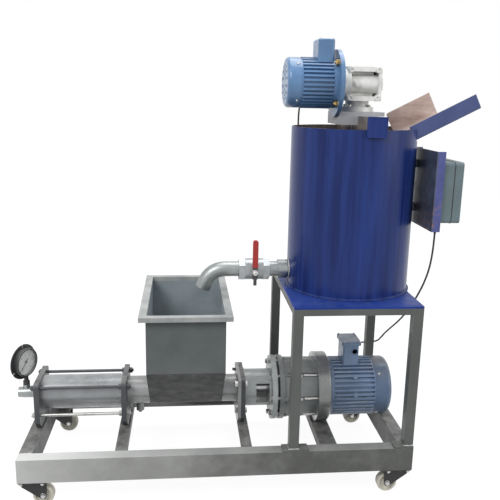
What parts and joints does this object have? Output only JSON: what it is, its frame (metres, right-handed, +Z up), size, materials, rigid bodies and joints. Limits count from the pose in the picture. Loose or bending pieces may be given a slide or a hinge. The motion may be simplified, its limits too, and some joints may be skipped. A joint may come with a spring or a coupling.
{
  "type": "progressive cavity pump",
  "caption": "Wheeled progressive cavity pump with a feed hopper, in-line geared motor, and a stirred feed tank on a stand that pours into the hopper through a ball valve and spout.",
  "frame": {"origin": "on the floor under the middle of the machine's bounding box, leads left out", "axes": "+X along the pump from its outlet to its motor, +Y away from the valve lever's side, +Z up"},
  "size_m": [1.439, 0.533, 1.3805],
  "materials": {
    "frame_paint": "satin",
    "stand_paint": "satin",
    "caster_paint": "gloss",
    "caster_nylon": "satin",
    "plate_paint": "satin",
    "stator_paint": "satin",
    "stator_rubber": "matt",
    "machined_steel": "satin",
    "zinc_plate": "bright",
    "neck_paint": "satin",
    "hopper_paint": "satin",
    "drive_paint": "satin",
    "ring_paint": "satin",
    "motor_blue": "gloss",
    "cover_blue": "satin",
    "gauge_steel": "satin",
    "gauge_glass": "clear",
    "pointer_black": "matt",
    "tank_blue": "gloss",
    "saddle_paint": "satin",
    "mixer_blue": "gloss",
    "cast_aluminium": "cast",
    "pipe_steel": "satin",
    "ball_chrome": "polished",
    "lever_red": "dipped",
    "enclosure": "satin",
    "button_green": "gloss",
    "button_red": "gloss",
    "gland_black": "matt",
    "lead_black": "matt"
  },
  "bodies": {
    "machine": {"adapter_ring": "ring_paint", "base_cross_members": "frame_paint", "base_rails": "frame_paint", "bearing_bracket": "drive_paint", "bridge_bar": "tank_blue", "cable_glands": "gland_black", "caster_top_plates": "caster_paint", "control_box": "enclosure", "control_bracket": "tank_blue", "control_cover": "enclosure", "discharge_tee": "pipe_steel", "flange_bolts": "zinc_plate", "gauge_case": "gauge_steel", "gauge_glass": "gauge_glass", "gearbox_saddle": "saddle_paint", "hopper": "hopper_paint", "loading_chute": "tank_blue", "mixer_fan_cover": "mixer_blue", "mixer_lead": "lead_black", "mixer_motor": "mixer_blue", "mixer_terminal_box": "mixer_blue", "motor_fan_cover": "cover_blue", "motor_housing": "motor_blue", "motor_lead": "lead_black", "motor_terminal_box": "motor_blue", "outlet_nipple": "pipe_steel", "pump_plates": "plate_paint", "reducer_housing": "drive_paint", "shaft_bearings": "machined_steel", "shaft_seal": "machined_steel", "spout": "pipe_steel", "stand_legs": "stand_paint", "stand_top_frame": "stand_paint", "stator_rubber": "stator_rubber", "stator_tube": "stator_paint", "suction_tube": "neck_paint", "tank_shell": "tank_blue", "tank_table": "tank_blue", "tie_rods": "zinc_plate", "valve_body": "pipe_steel", "worm_gearbox": "cast_aluminium"},
    "drive": {"auger_shaft": "machined_steel"},
    "rod": {"coupling_rod": "machined_steel"},
    "rotor": {"rotor": "machined_steel"},
    "motor_rotor": {"motor_shaft": "machined_steel"},
    "mixer": {"mixer_shaft": "machined_steel"},
    "mixer_motor_rotor": {"mixer_motor_shaft": "machined_steel"},
    "valve": {"valve_ball": "ball_chrome", "valve_lever": "lever_red"},
    "pointer": {"gauge_pointer": "pointer_black"},
    "start_button": {"start_button": "button_green"},
    "stop_button": {"stop_button": "button_red"},
    "fork_front_left": {"caster_fork_front_left": "caster_paint"},
    "wheel_front_left": {"caster_wheel_front_left": "caster_nylon"},
    "fork_front_right": {"caster_fork_front_right": "caster_paint"},
    "wheel_front_right": {"caster_wheel_front_right": "caster_nylon"},
    "fork_rear_left": {"caster_fork_rear_left": "caster_paint"},
    "wheel_rear_left": {"caster_wheel_rear_left": "caster_nylon"},
    "fork_rear_right": {"caster_fork_rear_right": "caster_paint"},
    "wheel_rear_right": {"caster_wheel_rear_right": "caster_nylon"}
  },
  "joints": [
    {"name": "motor_spin", "type": "hinge", "parent": "machine", "child": "motor_rotor", "pos_m": [0.30412, 0, 0.258], "axis": [1, 0, 0], "continuous": true},
    {"name": "drive_spin", "type": "hinge", "parent": "machine", "child": "drive", "pos_m": [-0.22488, 0, 0.258], "axis": [1, 0, 0], "continuous": true},
    {"name": "rod_orbit", "type": "hinge", "parent": "machine", "child": "rod", "pos_m": [-0.34688, 0, 0.258], "axis": [1, 0, 0], "continuous": true},
    {"name": "rotor_turn", "type": "hinge", "parent": "rod", "child": "rotor", "pos_m": [-0.34688, 0, 0.265], "axis": [1, 0, 0], "continuous": true},
    {"name": "mixer_motor_spin", "type": "hinge", "parent": "machine", "child": "mixer_motor_rotor", "pos_m": [0.28712, -0.05, 1.2555], "axis": [1, 0, 0], "continuous": true},
    {"name": "mixer_spin", "type": "hinge", "parent": "machine", "child": "mixer", "pos_m": [0.36112, 0, 1.174], "axis": [0, 0, 1], "continuous": true},
    {"name": "valve_turn", "type": "hinge", "parent": "machine", "child": "valve", "pos_m": [0.05112, 0, 0.67], "axis": [0, -1, 0], "range_deg": [0, 90]},
    {"name": "gauge_sweep", "type": "hinge", "parent": "machine", "child": "pointer", "pos_m": [-0.68388, 0, 0.362], "axis": [-0.8829, 0.4695, 0], "range_deg": [0, 270], "stiffness_Nm_per_rad": 0.002},
    {"name": "swivel_front_left", "type": "hinge", "parent": "machine", "child": "fork_front_left", "pos_m": [-0.62488, -0.225, 0.085], "axis": [0, 0, 1], "continuous": true},
    {"name": "roll_front_left", "type": "hinge", "parent": "fork_front_left", "child": "wheel_front_left", "pos_m": [-0.59488, -0.225, 0.0315], "axis": [0, 1, 0], "continuous": true},
    {"name": "swivel_front_right", "type": "hinge", "parent": "machine", "child": "fork_front_right", "pos_m": [0.49512, -0.225, 0.085], "axis": [0, 0, 1], "continuous": true},
    {"name": "roll_front_right", "type": "hinge", "parent": "fork_front_right", "child": "wheel_front_right", "pos_m": [0.46512, -0.225, 0.0315], "axis": [0, 1, 0], "continuous": true},
    {"name": "swivel_rear_left", "type": "hinge", "parent": "machine", "child": "fork_rear_left", "pos_m": [-0.62488, 0.225, 0.085], "axis": [0, 0, 1], "continuous": true},
    {"name": "roll_rear_left", "type": "hinge", "parent": "fork_rear_left", "child": "wheel_rear_left", "pos_m": [-0.59488, 0.225, 0.0315], "axis": [0, 1, 0], "continuous": true},
    {"name": "swivel_rear_right", "type": "hinge", "parent": "machine", "child": "fork_rear_right", "pos_m": [0.49512, 0.225, 0.085], "axis": [0, 0, 1], "continuous": true},
    {"name": "roll_rear_right", "type": "hinge", "parent": "fork_rear_right", "child": "wheel_rear_right", "pos_m": [0.46512, 0.225, 0.0315], "axis": [0, 1, 0], "continuous": true},
    {"name": "start_push", "type": "slide", "parent": "machine", "child": "start_button", "axis": [-1, 0, 0], "range_m": [0, 0.004], "stiffness_N_per_m": 400},
    {"name": "stop_push", "type": "slide", "parent": "machine", "child": "stop_button", "axis": [-1, 0, 0], "range_m": [0, 0.004], "stiffness_N_per_m": 400}
  ],
  "couplings": [
    {"joint": "drive_spin", "follows": "motor_spin", "ratio": 0.2},
    {"joint": "rod_orbit", "follows": "motor_spin", "ratio": -0.2},
    {"joint": "rotor_turn", "follows": "motor_spin", "ratio": 0.4},
    {"joint": "mixer_spin", "follows": "mixer_motor_spin", "ratio": 0.066667}
  ]
}
